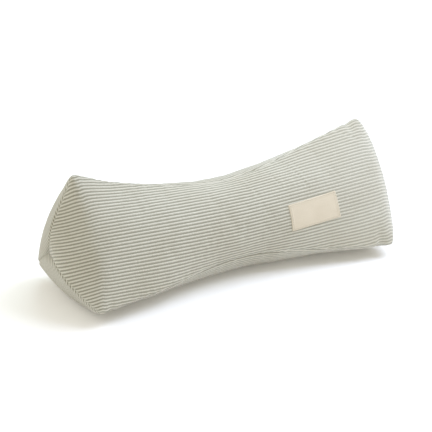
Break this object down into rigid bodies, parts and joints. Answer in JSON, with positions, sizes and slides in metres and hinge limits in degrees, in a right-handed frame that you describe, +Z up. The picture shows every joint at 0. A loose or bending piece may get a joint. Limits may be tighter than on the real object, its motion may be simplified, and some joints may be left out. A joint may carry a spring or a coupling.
{
  "type": "nursing pillow",
  "caption": "Long hourglass nursing pillow with a rounded triangular section: three striped panels, an inner case, a fibre filling, a blank label and a zip in the rear lower seam.",
  "frame": {"origin": "on the resting plane, under the middle of the pillow", "axes": "+X along the pillow towards the label, -Y towards the front panel, +Z up"},
  "size_m": [0.592, 0.21, 0.205],
  "materials": {
    "striped_cover": "cream and grey-green striped quilted cotton",
    "label_cloth": "smooth cream twill",
    "thread": "cream polyester thread",
    "zip_tape": "woven polyester tape",
    "zip_coil": "moulded nylon loops",
    "zip_metal": "nickel-plated zinc",
    "case_cloth": "plain white polycotton",
    "filling": "polyester fibre"
  },
  "bodies": {
    "pillow": {"cover_front_panel": "striped_cover", "cover_base_panel": "striped_cover", "cover_back_panel": "striped_cover", "label_patch": "label_cloth", "label_stitches": "thread", "zip_tape_upper": "zip_tape", "zip_tape_lower": "zip_tape", "zip_coil_upper": "zip_coil", "zip_coil_lower": "zip_coil", "zip_top_stops": "zip_metal", "zip_bottom_stop": "zip_metal", "inner_case_front_panel": "case_cloth", "inner_case_base_panel": "case_cloth", "inner_case_back_panel": "case_cloth", "filling_core": "filling"},
    "slider": {"zip_slider": "zip_metal"},
    "pull": {"zip_pull": "zip_metal"}
  },
  "joints": [
    {"name": "zip_travel", "type": "hinge", "parent": "pillow", "child": "slider", "pos_m": [0, 0.7818, -0.29023], "axis": [0, -0.4202, -0.9074], "range_deg": [0, 22.2]},
    {"name": "pull_swing", "type": "hinge", "parent": "slider", "child": "pull", "pos_m": [0.15099, 0.08337, 0.0332], "axis": [0, -0.4202, -0.9074], "range_deg": [0, 170]}
  ]
}
